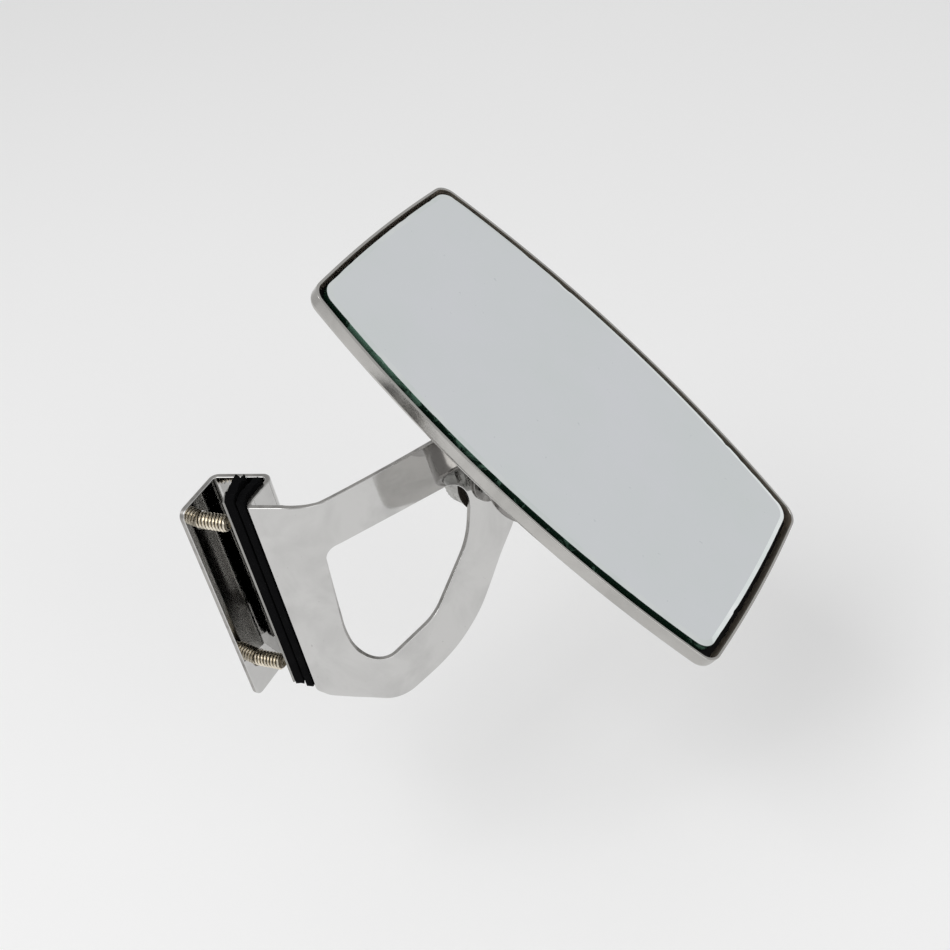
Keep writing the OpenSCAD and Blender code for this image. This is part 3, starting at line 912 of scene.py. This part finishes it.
stud_profile = [(0, -11.5), (2.2, -11.5), (2.65, -11.1)] + thread_profile(3.0, -11.0, -2.5, 1.0) \
    + [(3.0, -2.5), (3.0, 1.1), (2.6, 1.1), (2.6, 2.8), (2.3, 3.4)] \
    + [(2.3, 4.4)] + arc(0, BALL_H, 7.5, -72.0, 90, 30)[:-1] + [(0, BALL_H + 7.5)]
lathe_object("ball_stud_turned", stud_profile, PIVOT, "pivot_stud", "ball_steel", BALL,
             "ball_stud", n=80)


def hex_collar():
    """Spanner collar of the stud, with its corners chamfered."""
    n, lo, hi = 72, 0.9, 2.9
    rings = [(2.55, lo, 0), (4.4, lo, 0), (5.5, lo + 0.35, 1), (5.5, hi - 0.35, 1), (4.4, hi, 0),
             (2.25, hi, 0)]
    verts, faces = [], []
    for r, z, is_hex in rings:
        for a in angles(n):
            q = (a + pi / 6) % (pi / 3) - pi / 6
            rr = min(r, 5.5 * cos(pi / 6) / cos(q)) if is_hex else r
            verts.append(polar(rr, a + pi / 6, z))
    m = len(rings)
    for i in range(m):
        faces += band(i * n, (i + 1) % m * n, n)
    return place(to_mesh("stud_hex_collar", verts, faces, PIVOT, angle=25), "pivot_stud",
                 "ball_steel", BALL)


hex_collar()

washer = [(3.05, 0.1), (6.6, 0.1), (6.8, 0.25), (6.8, 0.75), (6.6, 0.9), (3.05, 0.9)]
lathe_object("front_washer_disc", washer, PIVOT, "pivot_stud", "washer_steel", WASHER,
             "front_washer", closed=True)
washer = [(3.1, -2.3), (10.3, -2.3), (10.5, -2.15), (10.5, -1.65), (10.3, -1.5), (3.1, -1.5)]
lathe_object("rear_fibre_washer", washer, PIVOT, "bracket", "fibre", FIBRE, "rear_washer",
             closed=True)

# pressed housing on the head's back: rolled lip, cup and flange in one skin
housing = [(7.3, -2.1)] + arc(8.7, -1.7, 0.7, 215, 270, 4) + arc(8.7, -1.7, 0.7, 270, 360, 5) \
    + [(9.4, 0.5), (9.4, 8.6)] + arc(10.4, 8.6, 1.0, 180, 90, 5) \
    + [(13.6, 9.6), (14.0, 9.85), (14.0, 10.75), (13.9, 10.8), (8.3, 10.8), (8.3, 2.0),
       (8.15, -0.2), (7.8, -1.2)]
lathe_object("socket_housing_pressed", housing, HEAD, "mirror_head", "housing_steel", HOUSING,
             "socket_housing", n=96, closed=True)


def rivets():
    """Three domed rivets through the housing's flange and the pan."""
    verts, faces = [], []
    head = [(2.0 * sin(radians(t)), 9.62 - 0.67 * cos(radians(t))) for t in range(15, 91, 15)]
    dome = [(0, 8.95)] + head + [(1.2, 9.62), (1.2, 11.6), (2.0, 11.6), (1.9, 12.0), (1.2, 12.3),
                                 (0, 12.3)]
    for a in (30, 150, 270):
        v, f = lathe(dome, 32)
        base = len(verts)
        q = radians(a)
        verts += [(x + 11.6 * cos(q), y + 11.6 * sin(q), z) for x, y, z in v]
        faces += [tuple(base + i for i in t) for t in f]
    return place(to_mesh("socket_rivets_domed", verts, faces, HEAD, angle=35), "mirror_head",
                 "rivet_steel", RIVET, "socket_rivets")


rivets()


# ---------------- mirror head
# Half length and half height, bulge of the long and short sides, and corner radius
HEAD_L, HEAD_H, LONG_BULGE, SHORT_BULGE, CORNER_R = 74.5, 44.5, 6.75, 1.1, 5.4
# Half chords over which the sides bulge
LONG_HALF, SHORT_HALF = HEAD_L - 5.3, HEAD_H - 10.75


def bow_radius(half, bulge):
    return (half * half + bulge * bulge) / (2 * bulge)


def barrel(d, corner_r=None, long_n=81, short_n=41, corner_n=12):
    """Outline of the head inset by d, counter-clockwise: bowed sides and rounded corners.

    Every inset has the same number of points, so that rings of them join up."""
    big = bow_radius(LONG_HALF, LONG_BULGE)
    flat = bow_radius(SHORT_HALF, SHORT_BULGE)
    r = corner_r or max(CORNER_R - d, 0.6)
    c1, c2 = np.array([0, HEAD_H - big]), np.array([HEAD_L - flat, 0])
    r1, r2 = big - d - r, flat - d - r
    # centre of the corner's circle, which touches both sides from inside
    gap = np.linalg.norm(c2 - c1)
    along = (r1 * r1 - r2 * r2 + gap * gap) / (2 * gap)
    u = (c2 - c1) / gap
    w = np.array([u[1], -u[0]])
    w = w if w[0] > 0 else -w
    c = c1 + u * along + w * sqrt(max(r1 * r1 - along * along, 0))
    a0, a1 = atan2(*(c - c1)[::-1]), atan2(*(c - c2)[::-1])
    top = [c1 + (big - d) * np.array([cos(t), sin(t)])
           for t in np.linspace(pi - a0, a0, long_n)]
    corner = [c + r * np.array([cos(t), sin(t)])
              for t in np.linspace(a0, a1, corner_n + 1)[1:-1]]
    side = [c2 + (flat - d) * np.array([cos(t), sin(t)])
            for t in np.linspace(a1, -a1, short_n)]
    other = [(x, -y) for x, y in corner[::-1]]
    half = np.array([tuple(q) for q in top + corner + side + other])
    return np.vstack([half, -half])[::-1]


OUTLINE = barrel(0)
OUT_N = outward(OUTLINE)


def shell(profile, shift=(0, 0), corners=None):
    """Rings of the head's outline at (inset, height) points, as points and faces.

    corners holds a corner radius for each ring, where it isn't the outline's own."""
    m = len(OUTLINE)
    verts, faces = [], []
    for i, (d, z) in enumerate(profile):
        ring = barrel(d, corners[i] if corners else None)
        verts += [(x + shift[0], y + shift[1], z) for x, y in ring]
    for i in range(len(profile) - 1):
        faces += band(i * m, (i + 1) * m, m)
    return verts, faces


# Pan: heights of its rim and back over the ball, sheet thickness, and outer rounding
RIM, BACK, PAN_T, EDGE_R = 16.0, 10.8, 0.8, 2.0


def build_pan():
    """Pressed pan with a rounded back edge and a rim; slots are outside and inside."""
    m = len(OUTLINE)
    outer = [(EDGE_R * (1 - sin(radians(t))), BACK + EDGE_R * (1 - cos(radians(t))))
             for t in np.linspace(0, 90, 16)]
    rim = [(0.0, RIM - 0.2), (0.05, RIM - 0.08), (0.14, RIM - 0.03), (PAN_T - 0.12, RIM - 0.03),
           (PAN_T - 0.035, RIM - 0.05), (PAN_T, RIM - 0.12)]
    inner_r = EDGE_R - PAN_T
    inner = [(PAN_T + inner_r * (1 - cos(radians(t))), BACK + EDGE_R
              - inner_r * sin(radians(t))) for t in np.linspace(0, 90, 12)]
    profile = outer + rim + inner
    verts, faces = shell(profile)
    outside = (len(outer) + len(rim) - 1) * m
    slots = [0] * outside + [1] * (len(faces) - outside)
    back = cap_ring(verts, 0, m, False)
    floor = cap_ring(verts, (len(profile) - 1) * m, m, True)
    # the rim is a little uneven, as on a hand-polished pressing
    for i in range(len(verts)):
        x, y, z = verts[i]
        if z > RIM - 0.3:
            k = noise.noise(Vector((x * 0.09, y * 0.09, 1.0)))
            verts[i] = (x, y, z - 0.05 * abs(k))
    return verts, faces + back + floor, slots + [0] * len(back) + [1] * len(floor)


pan_v, pan_f, pan_s = build_pan()
pan = to_mesh("mirror_pan_pressed", pan_v, pan_f, MIDDLE, slots=pan_s, angle=12)
place(pan, "mirror_head", "pan_steel", [PAN_OUT, PAN_IN], "mirror_pan")

# Glass: inset from the pan's outline, bevel's width and depth, thickness, and shift along the pan
GLASS_IN, BEVEL_W, BEVEL_D, GLASS_T, SHIFT = 2.8, 1.5, 0.4, 3.0, -0.7
# Height of its edge over the rim, and its corner radii at the edge and inside the bevel
PROUD, EDGE_CORNER, FACE_CORNER = 0.15, 5.2, 4.6
GLASS_TOP = RIM + PROUD + BEVEL_D


def build_glass():
    """Bevelled glass with a ground edge; slots are face, bevel and edge."""
    m = len(OUTLINE)
    low = GLASS_TOP - GLASS_T
    edge_top = GLASS_TOP - BEVEL_D
    profile = [(GLASS_IN + 0.15, low), (GLASS_IN, low + 0.15)]
    profile += [(GLASS_IN, z) for z in np.linspace(low + 0.15, edge_top - 0.1, 6)[1:]]
    profile += [(GLASS_IN + 0.08, edge_top), (GLASS_IN + BEVEL_W, GLASS_TOP)]
    corners = [EDGE_CORNER] * (len(profile) - 1) + [FACE_CORNER]
    verts, faces = shell(profile, (SHIFT, 0), corners)
    # chipped upper edge: small irregular dips where the grinding broke the glass
    for i in range(len(profile) - 3, len(profile) - 1):
        for k in range(m):
            x, y, z = verts[i * m + k]
            c = noise.noise(Vector((x * 0.22, y * 0.22, 5.0)))
            c += 0.6 * noise.noise(Vector((x * 0.9, y * 0.9, 8.0)))
            dip = max(0.0, c - 0.25) * 0.5
            n = OUT_N[k]
            verts[i * m + k] = (x - n[0] * dip, y - n[1] * dip, z - dip * 0.35)
    slots = [2] * (len(faces) - m) + [1] * m
    back = cap_ring(verts, 0, m, False)
    face = cap_ring(verts, (len(profile) - 1) * m, m, True)
    return verts, faces + back + face, slots + [2] * len(back) + [0] * len(face)


def build_foam():
    """Foam under the glass; its cut edge shows in the gap and is a little ragged."""
    m = len(OUTLINE)
    profile = [(2.4, 11.65), (1.6, 11.95), (1.3, 12.6), (1.4, 13.15), (1.9, 13.5)]
    verts, faces = shell(profile)
    for i in range(len(verts)):
        x, y, z = verts[i]
        nx, ny = OUT_N[i % m]
        torn = 0.35 * abs(noise.noise(Vector((x * 0.4, y * 0.4, z * 0.8))))
        verts[i] = (x - nx * torn, y - ny * torn, z)
    under = cap_ring(verts, 0, m, False)
    top = cap_ring(verts, (len(profile) - 1) * m, m, True)
    return verts, faces + under + top


fv, ff = build_foam()
foam = to_mesh("foam_pad_cut", fv, ff, MIDDLE, angle=40)
place(foam, "mirror_head", "foam", FOAM, "foam_pad")

gv, gf, gs = build_glass()
glass = to_mesh("mirror_glass_bevelled", gv, gf, MIDDLE, slots=gs, angle=4)
place(glass, "mirror_head", "mirror_glass", [MIRROR, BEVEL, GLASS_EDGE], "mirror_glass")

# ---------------- carried-over CAD nodes
for node, material in (("ball_seat", NYLON), ("disc_spring", SPRING), ("thrust_washer", WASHER)):
    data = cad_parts[node].data
    data.materials.clear()
    data.materials.append(material)

# ---------------- floor, lights, camera
low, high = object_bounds()
# Room below the object for the head at the ends of its swing
FLOOR_DROP = 0.08
FLOOR_Z = min(low.z, cad_low.z) - FLOOR_DROP
FLOOR_HALF = 6.0
floor_mesh = bpy.data.meshes.new("floor")
grid = [(x, y, FLOOR_Z) for y in (-FLOOR_HALF, FLOOR_HALF) for x in (-FLOOR_HALF, FLOOR_HALF)]
floor_mesh.from_pydata(grid, [], [(0, 1, 3, 2)])
floor = add_object("floor", floor_mesh)
f = new_material("pale_floor")
speckle = f.noise(f.coords(), 3.0, 2.0, 0.5)
floor_mesh.materials.append(f.shader(
    Base_Color=f.mix(speckle, (0.93, 0.93, 0.93), (0.95, 0.95, 0.95)), Roughness=0.9,
    Specular_IOR_Level=0.1))


def soft_light(name, location, size, energy):
    """Square area light turned towards the object."""
    data = bpy.data.lights.new(name, "AREA")
    data.shape, data.size, data.energy = "SQUARE", size, energy
    lamp = add_object(name, data)
    lamp.location = location
    lamp.rotation_euler = (AIM - lamp.location).to_track_quat("-Z", "Y").to_euler()


AIM = Vector((0.05, 0.0, 0.0))
soft_light("key", (-0.5, -0.5, 1.2), 1.0, 8.0)
soft_light("fill", (1.0, -0.4, 0.6), 0.8, 2.0)

# Brightness of the plain light that comes from all round
ROOM = 0.6


def build_world():
    """Plain grey-white light, the same in every direction and for every ray."""
    world = bpy.data.worlds.new("studio")
    bpy.context.scene.world = world
    w = Nodes(world)
    plain = w.add("ShaderNodeBackground", {0: (ROOM, ROOM, ROOM, 1)})
    w.add("ShaderNodeOutputWorld", {0: plain.outputs[0]})


build_world()

camera_data = bpy.data.cameras.new("camera")
camera_data.lens = 56.84
camera_data.sensor_width = 36.0
camera_data.clip_start, camera_data.clip_end = 0.01, 20.0
camera = add_object("camera", camera_data)
# Directions of the view's right, top and back
right, upward, back = (Vector(v).normalized() for v in
                       ((0.9645, 0.1915, -0.1817), (0.0067, 0.6702, 0.7422),
                        (0.2639, -0.7171, 0.6451)))
rotation = Matrix((right, upward, back)).transposed().to_4x4()
camera.matrix_world = Matrix.Translation(Vector((162.9, -267.65, 284.7)) * MM) @ rotation
bpy.context.scene.camera = camera
bpy.context.scene.view_settings.view_transform = "Standard"
